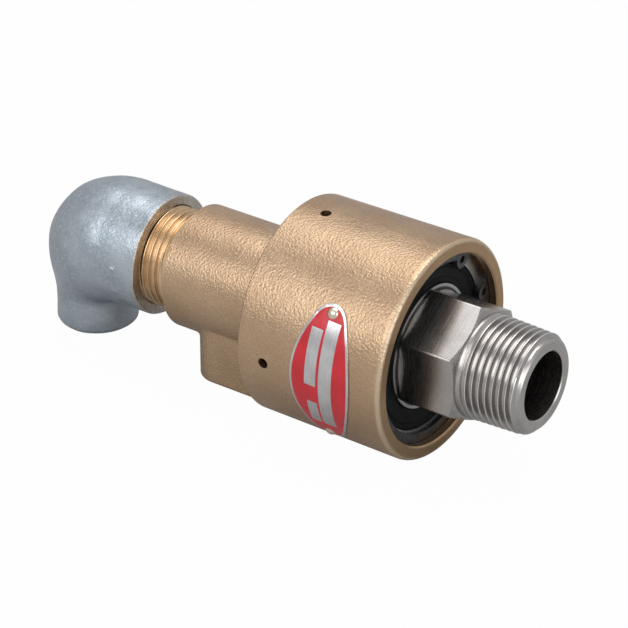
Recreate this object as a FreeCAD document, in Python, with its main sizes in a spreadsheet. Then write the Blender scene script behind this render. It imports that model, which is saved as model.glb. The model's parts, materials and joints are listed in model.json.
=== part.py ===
import FreeCAD, Part
import math
import os
import re
import Sketcher

# Hydraulic rotary union, R1 rotor, one-inch steam and oil size.
# Millimetres. The rotor turns about the X axis and +X points out of its threaded end.
# The origin is where that axis meets the front face of the casing. The port boss points down.
# A depth is a distance behind the casing's front face, so its place on the X axis is minus the depth.

SIZES = {
    # casting: barrel, neck and port boss
    "barrel_wall": 4.85,
    "barrel_draft": 0.45,
    "barrel_front_round": 2.0,
    "barrel_back_round": 0.5,
    "neck_wall": 3.8,
    "boss_root_round": 2.0,
    "web_thickness": 5.0,
    "bearing_shoulder_step": 5.0,
    "bore_chamfer": 0.5,
    "boss_wall": 5.4,
    "boss_corner": 8.0,
    "boss_reach": 30.0,
    "boss_edge_round": 1.4,
    "port_thread_radius": 12.1,
    "port_thread_depth": 13.0,
    "passage_radius": 7.0,
    "passage_margin": 0.5,
    "passage_wall": 5.0,
    "drain_radius": 1.75,
    "drain_ahead": 4.8,
    "drain_turn": 3.0,
    "drain_count": 4,
    # ball bearings 30 x 62 x 16, two alike
    "bearing_outer_radius": 31.0,
    "bearing_bore_radius": 15.0,
    "bearing_width": 16.0,
    "inner_ring_wall": 5.15,
    "outer_ring_wall": 5.0,
    "ball_radius": 4.7625,
    "ball_count": 9,
    "raceway_clearance": 0.04,
    "cage_end_gap": 0.6,
    "cage_thickness": 1.6,
    "pocket_clearance": 0.1,
    "seal_thickness": 1.4,
    "seal_inset": 0.4,
    "seal_step": 1.3,
    "seal_lip_clearance": 0.05,
    # retaining rings in the casing and on the shaft
    "bore_groove_front": 2.8,
    "bore_groove_step": 1.5,
    "bore_ring_thickness": 2.0,
    "bore_ring_slack": 0.2,
    "bore_ring_width": 4.6,
    "shaft_groove_step": 0.7,
    "shaft_ring_thickness": 1.5,
    "shaft_ring_slack": 0.1,
    "shaft_ring_width": 3.2,
    "bore_eye_lift": 0.5,
    "ring_eye_radius": 2.9,
    "ring_eye_hole_radius": 1.25,
    "ring_gap_middle": 37.0,
    "ring_gap_half": 22.7,
    # rotor
    "rotor_bore_radius": 11.0,
    "hexagon_flats": 35.0,
    "hexagon_turn": 28.5,
    "hexagon_length": 19.4,
    "hexagon_chamfer": 1.7,
    "collar_radius": 18.3,
    "collar_length": 0.6,
    "rotor_thread_length": 21.2,
    "thread_end_radius": 16.1,
    "thread_taper": 0.03125,
    "thread_end_chamfer": 1.9,
    "journal_land": 2.1,
    "seat_depth": 4.5,
    "seat_wall": 1.6,
    "seat_clearance": 0.1,
    # mating ring, turns with the rotor
    "mating_bore_step": 0.2,
    "mating_flange_step": 0.1,
    "mating_flange_thickness": 2.2,
    "mating_ring_section": 1.3,
    "ring_groove_slack": 0.25,
    # floating seal ring, stands still
    "seal_hub_clearance": 0.08,
    "seal_ring_bore_step": 0.3,
    "hub_wall": 4.82,
    "nose_inner_step": 0.6,
    "nose_outer_step": 0.6,
    "nose_length": 1.0,
    "seal_flange_lip": 1.0,
    "seal_flange_thickness": 1.8,
    "float_room": 1.8,
    "hub_ring_section": 2.0,
    "hub_ring_behind": 1.0,
    "spring_length": 7.0,
    "spring_wire": 1.4,
    "spring_turns": 3,
    "pin_radius": 1.5,
    "pin_wall": 1.3,
    "pin_depth": 4.0,
    "pin_standout": 0.5,
    "pin_notch_clearance": 0.2,
    "pin_count": 2,
    # rear nipple and elbow
    "nipple_radius": 16.6,
    "nipple_clearance": 0.05,
    "nipple_grip": 14.0,
    "nipple_bare": 12.0,
    "nipple_band": 3.0,
    "nipple_bore_radius": 9.5,
    "tube_socket_radius": 7.5,
    "tube_socket_depth": 15.0,
    "spring_shoulder": 2.7,
    "elbow_grip": 15.0,
    "elbow_inlet_wall": 3.7,
    "elbow_outlet_wall": 4.2,
    "elbow_reach": 31.0,
    "elbow_drop": 33.0,
    "elbow_crotch": 2.0,
    "elbow_wall": 4.6,
    "elbow_edge_round": 1.4,
    "outlet_edge_round": 2.4,
    "outlet_thread_radius": 9.3,
    "socket_runout": 0.5,
    # nameplate, an oval bent round the barrel, and its two drive pins
    "plate_depth": 21.5,
    "plate_half_height": 23.6,
    "plate_half_width": 10.9,
    "plate_tip_round": 6.5,
    "plate_thickness": 0.5,
    "plate_turn": 2.0,
    "plate_tilt": 2.3,
    "plate_pin_inset": 2.3,
    "plate_pin_radius": 1.25,
    "plate_pin_length": 3.2,
    "plate_pin_head_radius": 1.85,
    "plate_pin_head_height": 0.9,
    "plate_pin_gap": 0.04,
}

# Depths and radii that follow from the sizes, front to back.
PLACES = {
    "bore_groove_width": "bore_ring_thickness + bore_ring_slack",
    "shaft_groove_width": "shaft_ring_thickness + shaft_ring_slack",
    "bearing_front": "bore_groove_front + bore_groove_width",
    "bearing_middle": "bearing_front + bearing_width",
    "bearing_back": "bearing_middle + bearing_width",
    "shaft_groove_back": "bearing_back + shaft_groove_width",
    "journal_back": "shaft_groove_back + journal_land",
    "seal_face": "journal_back + mating_flange_thickness",
    "nose_back": "seal_face + nose_length",
    "seal_flange_back": "nose_back + seal_flange_thickness",
    "web_front": "seal_flange_back + float_room",
    "barrel_back": "web_front + web_thickness",
    "spring_seat": "barrel_back + spring_length",
    "port_depth": "spring_seat + passage_margin + passage_radius",
    "chamber_back": "port_depth + passage_radius + passage_wall",
    "neck_back": "chamber_back + nipple_grip",
    "elbow_face": "neck_back + nipple_bare",
    "nipple_back": "elbow_face + elbow_grip",
    "elbow_axis": "elbow_face + elbow_reach",
    "drain_depth": "web_front - drain_ahead",
    "barrel_radius": "bearing_outer_radius + barrel_wall",
    "barrel_back_radius": "barrel_radius - barrel_draft",
    "neck_radius": "nipple_radius + neck_wall",
    "boss_side": "2 * (port_thread_radius + boss_wall)",
    "leak_chamber_radius": "bearing_outer_radius - bearing_shoulder_step",
    "ball_pitch_radius": "(bearing_outer_radius + bearing_bore_radius) / 2",
    "inner_land_radius": "bearing_bore_radius + inner_ring_wall",
    "outer_land_radius": "bearing_outer_radius - outer_ring_wall",
    "cage_width": "bearing_width - 2 * (seal_inset + seal_thickness + cage_end_gap)",
    "seat_radius": "bearing_bore_radius - seat_wall",
    "mating_bore_radius": "rotor_bore_radius + mating_bore_step",
    "mating_flange_radius": "bearing_bore_radius - mating_flange_step",
    "seal_ring_bore_radius": "rotor_bore_radius + seal_ring_bore_step",
    "nose_inner_radius": "seal_ring_bore_radius + nose_inner_step",
    "nose_outer_radius": "mating_flange_radius - nose_outer_step",
    "hub_radius": "seal_ring_bore_radius + hub_wall",
    "seal_bore_radius": "hub_radius + seal_hub_clearance",
    "chamber_radius": "seal_bore_radius - spring_shoulder",
    "pin_circle_radius": "seal_bore_radius + pin_wall + pin_radius",
    "seal_flange_radius": "pin_circle_radius + seal_flange_lip",
    "elbow_inlet_radius": "nipple_radius + elbow_inlet_wall",
    "elbow_outlet_radius": "outlet_thread_radius + elbow_outlet_wall",
    "plate_radius": "barrel_radius - barrel_draft * plate_depth / barrel_back",
    "plate_side_radius": "(plate_half_width ^ 2 + (plate_half_height - plate_tip_round) ^ 2"
                         " - plate_tip_round ^ 2) / (2 * (plate_half_width - plate_tip_round))",
    "plate_point_height": "sqrt(plate_half_width * (2 * plate_side_radius - plate_half_width))",
    "plate_pin_spread": "asin((plate_half_height - plate_pin_inset) / plate_radius) / 1 deg",
    "bore_groove_radius": "bearing_outer_radius + bore_groove_step",
    "shaft_groove_radius": "bearing_bore_radius - shaft_groove_step",
    "seal_seat_radius": "outer_land_radius + seal_step",
    "hexagon_front": "hexagon_length - bearing_front + collar_length",
    "rotor_front": "hexagon_front + rotor_thread_length",
    "hexagon_corner": "hexagon_flats / 2 / cos(30)",
    "thread_root_radius": "thread_end_radius + thread_taper * rotor_thread_length",
    "crotch_depth": "elbow_axis - elbow_outlet_radius - elbow_crotch",
    "crotch_drop": "elbow_inlet_radius + elbow_crotch",
    "outlet_thread_depth": "elbow_drop - crotch_drop",
}

BEND_STEPS = 3
# How far a cut runs on into the air, and how near two places count as the same.
OVERRUN = 1
CLOSE = 1e-3
# A retaining ring's gap is cut from half its eye circle's radius to this many times that radius.
GAP_REACH = 1.4
X_AXIS = FreeCAD.Vector(1, 0, 0)
Z_AXIS = FreeCAD.Vector(0, 0, 1)

doc = FreeCAD.newDocument("rotary_union")
parts = []


def fill_sheet(name, cells):
    """A sheet with one named cell a row: the name in column A, its content in column B."""
    sheet = doc.addObject("Spreadsheet::Sheet", name)
    for row, (alias, content) in enumerate(cells.items(), start=1):
        sheet.set(f"A{row}", alias)
        sheet.set(f"B{row}", content)
        sheet.setAlias(f"B{row}", alias)
    doc.recompute()
    return sheet


def bound(text):
    """The expression with each size or place led by the name of its sheet."""
    def led(word):
        name = word.group()
        sheet = "Sizes." if name in SIZES else "Places." if name in PLACES else ""
        return sheet + name
    return re.sub(r"[a-z][a-z_]*", led, text)


sizes = fill_sheet("Sizes", {name: str(number) for name, number in SIZES.items()})
fill_sheet("Places", {name: "=" + bound(text).replace("Places.", "")
                      for name, text in PLACES.items()})


def value(text):
    """What an expression comes to now."""
    return float(sizes.evalExpression(bound(text)))


def new_body(name):
    body = doc.addObject("PartDesign::Body", name)
    body.Label = name
    parts.append(body)
    return body


def datum_feature(body, role):
    return next(item for item in body.Origin.OriginFeatures if item.Role == role)


def new_sketch(body, name, plane, base=("0", "0", "0"), turn=None):
    """A sketch on one of the body's own planes, moved and turned about its X by expressions."""
    sketch = body.newObject("Sketcher::SketchObject", name)
    sketch.AttachmentSupport = (datum_feature(body, plane), [""])
    sketch.MapMode = "FlatFace"
    if turn is not None:
        angle = value(turn)
        sketch.AttachmentOffset = FreeCAD.Placement(FreeCAD.Vector(), FreeCAD.Rotation(X_AXIS, angle))
        sketch.setExpression("AttachmentOffset.Rotation.Angle", bound(turn))
    for direction, text in zip("xyz", base):
        if text != "0":
            sketch.setExpression(f"AttachmentOffset.Base.{direction}", bound(text))
    return sketch


def hold(sketch, kind, text, *where):
    """Add a dimension that an expression drives."""
    index = sketch.addConstraint(Sketcher.Constraint(kind, *where, value(text)))
    sketch.setExpression(f"Constraints[{index}]", bound(text))


def hold_point(sketch, edge, end, across, up):
    hold(sketch, "DistanceX", across, -1, 1, edge, end)
    hold(sketch, "DistanceY", up, -1, 1, edge, end)


def draw_outline(sketch, corners):
    """Closed run of straight edges; each corner is a pair of expressions."""
    spots = [FreeCAD.Vector(value(across), value(up), 0) for across, up in corners]
    first = sketch.GeometryCount
    count = len(spots)
    for index, spot in enumerate(spots):
        sketch.addGeometry(Part.LineSegment(spot, spots[(index + 1) % count]), False)
    for index in range(count):
        following = first + (index + 1) % count
        sketch.addConstraint(Sketcher.Constraint("Coincident", first + index, 2, following, 1))
    for index, (across, up) in enumerate(corners):
        hold_point(sketch, first + index, 1, across, up)


def draw_circle(sketch, radius, across="0", up="0"):
    centre = FreeCAD.Vector(value(across), value(up), 0)
    index = sketch.addGeometry(Part.Circle(centre, Z_AXIS, value(radius)), False)
    hold_point(sketch, index, 3, across, up)
    hold(sketch, "Radius", radius, index)


def turn_sketch(body, sketch, name, kind="Revolution"):
    """Revolve a sketch, or groove with it, all round the X axis."""
    turned = body.newObject("PartDesign::" + kind, name)
    turned.Profile = sketch
    turned.ReferenceAxis = (sketch, ["H_Axis"])
    turned.Angle = 360
    doc.recompute()
    return turned


def turn(body, name, corners, kind="Revolution"):
    """Revolve or groove an outline of (x, radius) corners."""
    sketch = new_sketch(body, name + "_outline", "XZ_Plane")
    draw_outline(sketch, corners)
    return turn_sketch(body, sketch, name, kind)


def bar(front, back, outer, inner):
    """Outline of a plain ring between two places on X."""
    return [(front, inner), (front, outer), (back, outer), (back, inner)]


def turn_circle(body, name, x_place, ring_radius, section_radius, kind="Revolution"):
    """Revolve or groove a round section at a distance from the axis."""
    sketch = new_sketch(body, name + "_section", "XZ_Plane")
    draw_circle(sketch, section_radius, x_place, ring_radius)
    return turn_sketch(body, sketch, name, kind)


def extrude(body, sketch, name, length, kind="Pad", reverse=False):
    feature = body.newObject("PartDesign::" + kind, name)
    feature.Profile = sketch
    feature.setExpression("Length", bound(length))
    feature.Reversed = reverse
    doc.recompute()
    return feature


def repeat(body, feature, name, count):
    """Copies of a feature spaced evenly round the X axis."""
    pattern = body.newObject("PartDesign::PolarPattern", name)
    pattern.Originals = [feature]
    pattern.Axis = (datum_feature(body, "X_Axis"), [""])
    pattern.Angle = 360
    pattern.setExpression("Occurrences", bound(count))
    body.Tip = pattern
    doc.recompute()


def edges_where(feature, wanted):
    """Names of the edges that a test picks out."""
    return [f"Edge{number}" for number, edge in enumerate(feature.Shape.Edges, start=1) if wanted(edge)]


def dress(body, base, name, edges, size, kind="Fillet"):
    """Round or chamfer the named edges of the last feature."""
    feature = body.newObject("PartDesign::" + kind, name)
    feature.Base = (base, edges)
    feature.setExpression("Radius" if kind == "Fillet" else "Size", bound(size))
    doc.recompute()
    return feature


def is_ring(edge, x_text, radius_text):
    """True for a whole circle round the X axis at a place and radius."""
    curve = edge.Curve
    return (curve.TypeId == "Part::GeomCircle" and abs(abs(curve.Axis.x) - 1) < 1e-6
            and abs(curve.Center.x - value(x_text)) < CLOSE
            and abs(curve.Radius - value(radius_text)) < CLOSE)


def drill(body, name, radius, x_place, angle, start, length):
    """Round hole or blind hole along a radius of the barrel; angle 0 looks at -Y, 90 straight up."""
    base = ("0", f"({start}) * sin({angle})", f"({start}) * cos({angle})")
    sketch = new_sketch(body, name + "_circle", "XZ_Plane", base, turn=f"-({angle})")
    draw_circle(sketch, radius, x_place)
    return extrude(body, sketch, name, length, "Pocket", reverse=True)


def make_casing():
    body = new_body("casing")
    make_boss(body)
    cast = turn(body, "barrel_and_neck", [
        ("0", "0"), ("0", "barrel_radius"), ("-barrel_back", "barrel_back_radius"),
        ("-barrel_back", "neck_radius"), ("-neck_back", "neck_radius"), ("-neck_back", "0")])
    rounds = [
        ("boss_root", "boss_root_round", is_boss_root),
        ("front_edge", "barrel_front_round", lambda edge: is_ring(edge, "0", "barrel_radius")),
        ("back_edge", "barrel_back_round",
         lambda edge: is_ring(edge, "-barrel_back", "barrel_back_radius")),
    ]
    for name, size, wanted in rounds:
        cast = dress(body, cast, name, edges_where(cast, wanted), size)
    groove_casing_bore(body)
    drill_ports(body)


def make_boss(body):
    """Rounded square boss that runs from its face up to the middle of the neck."""
    sketch = new_sketch(body, "boss_square", "XY_Plane", base=("0", "0", "-boss_reach"))
    near, far = "-port_depth + boss_side / 2", "-port_depth - boss_side / 2"
    side = "boss_side / 2"
    draw_outline(sketch, [(near, side), (far, side), (far, "-" + side), (near, "-" + side)])
    boss = extrude(body, sketch, "boss", "boss_reach")
    boss = dress(body, boss, "boss_corners", edges_where(boss, is_far_corner), "boss_corner")
    dress(body, boss, "boss_edge", edges_where(
        boss, lambda edge: is_foot(edge, "-boss_reach")), "boss_edge_round")


def is_far_corner(edge):
    box = edge.BoundBox
    upright = box.XLength < CLOSE and box.YLength < CLOSE
    return upright and box.XMin < value("-port_depth")


def is_foot(edge, z_text):
    """True for an edge that lies level at a height."""
    box = edge.BoundBox
    return abs(box.ZMin - value(z_text)) < CLOSE and box.ZLength < CLOSE


def is_boss_root(edge):
    """True where the neck meets the barrel and where the boss meets the neck."""
    middle = edge.valueAt((edge.FirstParameter + edge.LastParameter) / 2)
    from_axis = math.hypot(middle.y, middle.z)
    on_neck = abs(from_axis - value("neck_radius")) < CLOSE
    at_barrel = abs(middle.x - value("-barrel_back")) < CLOSE
    at_boss = middle.z < 0 and value("-neck_back") + CLOSE < middle.x < value("-barrel_back")
    return on_neck and (at_barrel or at_boss)


def groove_casing_bore(body):
    """Bearing seat, groove of the retaining ring, leak chamber, seal bore, chamber and thread."""
    chamfer = "bearing_outer_radius + bore_chamfer"
    socket = "nipple_radius + nipple_clearance"
    turn(body, "bore", [
        (f"{OVERRUN}", "0"), (f"{OVERRUN}", chamfer), ("0", chamfer),
        ("-bore_chamfer", "bearing_outer_radius"),
        ("-bore_groove_front", "bearing_outer_radius"), ("-bore_groove_front", "bore_groove_radius"),
        ("-bearing_front", "bore_groove_radius"), ("-bearing_front", "bearing_outer_radius"),
        ("-bearing_back", "bearing_outer_radius"), ("-bearing_back", "leak_chamber_radius"),
        ("-web_front", "leak_chamber_radius"), ("-web_front", "seal_bore_radius"),
        ("-spring_seat", "seal_bore_radius"), ("-spring_seat", "chamber_radius"),
        ("-chamber_back", "chamber_radius"), ("-chamber_back", socket),
        (f"-neck_back - {OVERRUN}", socket), (f"-neck_back - {OVERRUN}", "0")], "Groove")


def drill_ports(body):
    """Port with its passage, drain holes, and the holes of the anti-rotation and drive pins."""
    for name, radius, length in (("port_passage", "passage_radius", "boss_reach"),
                                 ("port_thread", "port_thread_radius", "port_thread_depth")):
        sketch = new_sketch(body, name + "_circle", "XY_Plane", base=("0", "0", "-boss_reach"))
        draw_circle(sketch, radius, "-port_depth")
        extrude(body, sketch, name, length, "Pocket", reverse=True)
    drain = drill(body, "drain", "drain_radius", "-drain_depth", "-drain_turn", "0",
                  f"barrel_radius + {OVERRUN}")
    repeat(body, drain, "drains", "drain_count")
    sketch = new_sketch(body, "web_pin_circle", "YZ_Plane", base=("0", "0", "-web_front"))
    draw_circle(sketch, "pin_radius", "0", "pin_circle_radius")
    hole = extrude(body, sketch, "web_pin_hole", "pin_depth", "Pocket")
    repeat(body, hole, "web_pin_holes", "pin_count")
    for name, x_place, angle in plate_pins():
        drill(body, name + "_hole", "plate_pin_radius", x_place, angle,
              "plate_radius - plate_pin_length", f"plate_pin_length + {OVERRUN}")


def plate_pins():
    """Name, place on X and angle from -Y of the two drive pins of the nameplate."""
    shift = "plate_radius * sin(plate_pin_spread) * tan(plate_tilt)"
    upper = ("upper_pin", f"-plate_depth + {shift}", "plate_pin_spread - plate_turn")
    lower = ("lower_pin", f"-plate_depth - {shift}", "-plate_pin_spread - plate_turn")
    return upper, lower


def make_rotor():
    body = new_body("rotor")
    half = "rotor_bore_radius"
    rear = "seat_radius"
    turn(body, "shaft", [
        ("rotor_front", half), ("rotor_front", "thread_end_radius - thread_end_chamfer"),
        ("rotor_front - thread_end_chamfer", "thread_end_radius + thread_taper * thread_end_chamfer"),
        ("hexagon_front", "thread_root_radius"), ("-bearing_front + collar_length", "thread_root_radius"),
        ("-bearing_front + collar_length", "collar_radius"), ("-bearing_front", "collar_radius"),
        ("-bearing_front", "bearing_bore_radius"), ("-bearing_back", "bearing_bore_radius"),
        ("-bearing_back", "shaft_groove_radius"), ("-shaft_groove_back", "shaft_groove_radius"),
        ("-shaft_groove_back", "bearing_bore_radius"), ("-journal_back", "bearing_bore_radius"),
        ("-journal_back", rear), ("-journal_back + seat_depth", rear),
        ("-journal_back + seat_depth", half)])
    sketch = new_sketch(body, "hexagon_outline", "YZ_Plane",
                        base=("0", "0", "-bearing_front + collar_length"))
    draw_outline(sketch, [(f"-hexagon_corner * cos(hexagon_turn + {60 * corner})",
                           f"hexagon_corner * sin(hexagon_turn + {60 * corner})")
                          for corner in range(6)])
    draw_circle(sketch, "(rotor_bore_radius + thread_root_radius) / 2")
    extrude(body, sketch, "hexagon", "hexagon_length")
    outside = f"hexagon_corner + {OVERRUN}"
    turn(body, "hexagon_front_chamfer", [
        (f"hexagon_front + {OVERRUN}", f"hexagon_corner - (hexagon_chamfer + {OVERRUN}) / tan(30)"),
        ("hexagon_front - hexagon_chamfer", "hexagon_corner"),
        ("hexagon_front - hexagon_chamfer", outside), (f"hexagon_front + {OVERRUN}", outside)], "Groove")


def bearing_piece(bearing, piece):
    return new_body(f"{bearing}_bearing_{piece}")


def make_bearing(bearing, front):
    """Deep-groove ball bearing with a rubber seal at each side; front is its face's depth."""
    middle = f"-{front} - bearing_width / 2"
    back = f"-{front} - bearing_width"
    race = "ball_radius + raceway_clearance"
    inner = bearing_piece(bearing, "inner_ring")
    turn(inner, "ring", bar(f"-{front}", back, "inner_land_radius", "bearing_bore_radius"))
    turn_circle(inner, "raceway", middle, "ball_pitch_radius", race, "Groove")
    make_outer_ring(bearing, front, middle, back, race)
    make_balls(bearing, middle)
    make_cage(bearing, middle)
    lip = "inner_land_radius + seal_lip_clearance"
    faces = {"front": f"-{front} - seal_inset", "rear": f"{back} + seal_inset + seal_thickness"}
    for side, near in faces.items():
        seal = bearing_piece(bearing, side + "_seal")
        turn(seal, "disc", bar(near, f"{near} - seal_thickness", "seal_seat_radius", lip))


def make_outer_ring(bearing, front, middle, back, race):
    outer = bearing_piece(bearing, "outer_ring")
    step = "seal_inset + seal_thickness"
    turn(outer, "ring", [
        (f"-{front}", "seal_seat_radius"), (f"-{front}", "bearing_outer_radius"),
        (back, "bearing_outer_radius"), (back, "seal_seat_radius"),
        (f"{back} + {step}", "seal_seat_radius"), (f"{back} + {step}", "outer_land_radius"),
        (f"-{front} - ({step})", "outer_land_radius"), (f"-{front} - ({step})", "seal_seat_radius")])
    turn_circle(outer, "raceway", middle, "ball_pitch_radius", race, "Groove")


def sphere_at_pitch(body, name, x_place, radius, kind):
    sphere = body.newObject(f"PartDesign::{kind}Sphere", name)
    sphere.AttachmentSupport = (datum_feature(body, "XZ_Plane"), [""])
    sphere.MapMode = "FlatFace"
    sphere.setExpression("Radius", bound(radius))
    sphere.setExpression("AttachmentOffset.Base.x", bound(x_place))
    sphere.setExpression("AttachmentOffset.Base.y", bound("ball_pitch_radius"))
    doc.recompute()
    return sphere


def make_balls(bearing, middle):
    balls = bearing_piece(bearing, "balls")
    balls.AllowCompound = True
    ball = sphere_at_pitch(balls, "ball", middle, "ball_radius", "Additive")
    repeat(balls, ball, "ball_ring", "ball_count")


def make_cage(bearing, middle):
    """Window cage: a thin ring with one round pocket a ball."""
    cage = bearing_piece(bearing, "cage")
    turn(cage, "band", bar(f"{middle} + cage_width / 2", f"{middle} - cage_width / 2",
                           "ball_pitch_radius + cage_thickness / 2",
                           "ball_pitch_radius - cage_thickness / 2"))
    pocket = sphere_at_pitch(cage, "pocket", middle, "ball_radius + pocket_clearance", "Subtractive")
    repeat(cage, pocket, "pockets", "ball_count")


def make_retaining_ring(name, front, thickness, outer, inner, eye_circle):
    """Open ring with two eyes beside its gap, lying between its groove's walls."""
    body = new_body(name)
    face = f"{front} - {thickness}"
    ring = new_sketch(body, "ring_circles", "YZ_Plane", base=("0", "0", face))
    draw_circle(ring, outer)
    draw_circle(ring, inner)
    extrude(body, ring, "ring", thickness)
    eyes = [(f"{eye_circle} * cos({angle})", f"{eye_circle} * sin({angle})")
            for angle in ("ring_gap_middle - ring_gap_half", "ring_gap_middle + ring_gap_half")]
    for spot in eyes:
        eye = new_sketch(body, "eye_circle", "YZ_Plane", base=("0", "0", face))
        draw_circle(eye, "ring_eye_radius", *spot)
        extrude(body, eye, "eye", thickness)
    cut_ring_gap(body, face, thickness, eye_circle)
    for spot in eyes:
        hole = new_sketch(body, "eye_hole_circle", "YZ_Plane", base=("0", "0", face))
        draw_circle(hole, "ring_eye_hole_radius", *spot)
        extrude(body, hole, "eye_hole", thickness, "Pocket", reverse=True)


def cut_ring_gap(body, face, thickness, eye_circle):
    """Cut the gap between the two eyes with a straight-sided slot, from inside the ring to outside it."""
    gap = new_sketch(body, "gap_outline", "YZ_Plane", base=("0", "0", face))
    near, far = f"{eye_circle} / 2", f"{eye_circle} * {GAP_REACH}"
    half = f"({eye_circle} * sin(ring_gap_half) - ring_eye_radius)"
    corners = []
    for along, side, other in ((near, "-", "+"), (far, "-", "+"), (far, "+", "-"), (near, "+", "-")):
        corners.append((f"{along} * cos(ring_gap_middle) {side} {half} * sin(ring_gap_middle)",
                        f"{along} * sin(ring_gap_middle) {other} {half} * cos(ring_gap_middle)"))
    draw_outline(gap, corners)
    extrude(body, gap, "gap", thickness, "Pocket", reverse=True)


def make_mating_ring():
    body = new_body("mating_ring")
    spigot = "seat_radius - seat_clearance"
    turn(body, "ring", [
        ("-journal_back + seat_depth - seat_clearance", "mating_bore_radius"),
        ("-journal_back + seat_depth - seat_clearance", spigot), ("-journal_back", spigot),
        ("-journal_back", "mating_flange_radius"), ("-seal_face", "mating_flange_radius"),
        ("-seal_face", "mating_bore_radius")])
    groove_width = "mating_ring_section + ring_groove_slack"
    middle = "-journal_back + seat_depth / 2"
    turn(body, "ring_groove", bar(f"{middle} + ({groove_width}) / 2", f"{middle} - ({groove_width}) / 2",
                                  f"seat_radius + {OVERRUN}", f"{spigot} - mating_ring_section"),
         "Groove")
    ring = new_body("mating_ring_o_ring")
    turn_circle(ring, "cord", middle, f"{spigot} - mating_ring_section / 2", "mating_ring_section / 2")


def make_seal_ring():
    """Carbon ring: nose, flange with pin notches, hub with a ring groove."""
    body = new_body("seal_ring")
    turn(body, "ring", [
        ("-seal_face", "nose_inner_radius"), ("-seal_face", "nose_outer_radius"),
        ("-nose_back", "nose_outer_radius"), ("-nose_back", "seal_flange_radius"),
        ("-seal_flange_back", "seal_flange_radius"), ("-seal_flange_back", "hub_radius"),
        ("-barrel_back", "hub_radius"), ("-barrel_back", "seal_ring_bore_radius"),
        ("-nose_back", "seal_ring_bore_radius"), ("-nose_back", "nose_inner_radius")])
    middle = "-barrel_back + hub_ring_behind + hub_ring_section / 2 + ring_groove_slack / 2"
    half = "(hub_ring_section + ring_groove_slack) / 2"
    turn(body, "ring_groove", bar(f"{middle} + {half}", f"{middle} - {half}",
                                  "seal_bore_radius", "hub_radius - hub_ring_section"), "Groove")
    sketch = new_sketch(body, "notch_circle", "YZ_Plane", base=("0", "0", "-seal_flange_back"))
    draw_circle(sketch, "pin_radius + pin_notch_clearance", "0", "pin_circle_radius")
    notch = extrude(body, sketch, "notch", "seal_flange_thickness", "Pocket", reverse=True)
    repeat(body, notch, "notches", "pin_count")
    ring = new_body("seal_ring_o_ring")
    turn_circle(ring, "cord", middle, "hub_radius - hub_ring_section / 2", "hub_ring_section / 2")


def make_seal_spring():
    """Coil spring between the seal ring's hub and the shoulder behind it."""
    body = new_body("seal_spring")
    sketch = new_sketch(body, "wire_circle", "XZ_Plane")
    ring_radius = "(seal_bore_radius + chamber_radius) / 2"
    draw_circle(sketch, "spring_wire / 2", "-spring_seat + spring_wire / 2", ring_radius)
    helix = body.newObject("PartDesign::AdditiveHelix", "coil")
    helix.Profile = sketch
    helix.ReferenceAxis = (sketch, ["H_Axis"])
    helix.Mode = "height-turns-angle"
    helix.Angle = 0
    helix.setExpression("Height", bound("spring_length - spring_wire"))
    helix.setExpression("Turns", bound("spring_turns"))
    doc.recompute()


def make_anti_rotation_pins():
    body = new_body("anti_rotation_pins")
    body.AllowCompound = True
    sketch = new_sketch(body, "pin_circle", "YZ_Plane", base=("0", "0", "-web_front - pin_depth"))
    draw_circle(sketch, "pin_radius", "0", "pin_circle_radius")
    length = "pin_depth + float_room + seal_flange_thickness + pin_standout"
    pin = extrude(body, sketch, "pin", length)
    repeat(body, pin, "pins", "pin_count")


def make_rear_nipple():
    """Threaded both ends; the front bore is a socket for a fixed inner tube."""
    body = new_body("rear_nipple")
    band_back = "-neck_back - nipple_band"
    taper = "thread_taper * (nipple_bare - nipple_band + elbow_grip)"
    turn(body, "nipple", [
        ("-chamber_back", "tube_socket_radius"), ("-chamber_back", "nipple_radius"),
        (band_back, "nipple_radius"), ("-nipple_back", f"nipple_radius - {taper}"),
        ("-nipple_back", "nipple_bore_radius"),
        ("-chamber_back - tube_socket_depth", "nipple_bore_radius"),
        ("-chamber_back - tube_socket_depth", "tube_socket_radius")])


def elbow_sketch(body, name, angle, wall):
    """Round section of the elbow in the plane that stands at an angle on the crotch line."""
    share = f"sin({angle}) ^ 3"
    reach = f"(elbow_inlet_radius + (elbow_outlet_radius - elbow_inlet_radius) * {share})"
    sketch = new_sketch(body, name, "YZ_Plane", base=("0", "-crotch_drop", "-crotch_depth"),
                        turn=f"-{angle}")
    draw_circle(sketch, f"{reach} - {wall}", "0", f"{reach} + elbow_crotch")
    return sketch


def loft_bend(body, name, wall, kind):
    angles = [90 * step / BEND_STEPS for step in range(BEND_STEPS + 1)]
    sections = [elbow_sketch(body, f"{name}_section", angle, wall) for angle in angles]
    bend = body.newObject(f"PartDesign::{kind}Loft", name)
    bend.Profile = sections[0]
    bend.Sections = sections[1:]
    doc.recompute()
    return bend


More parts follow.
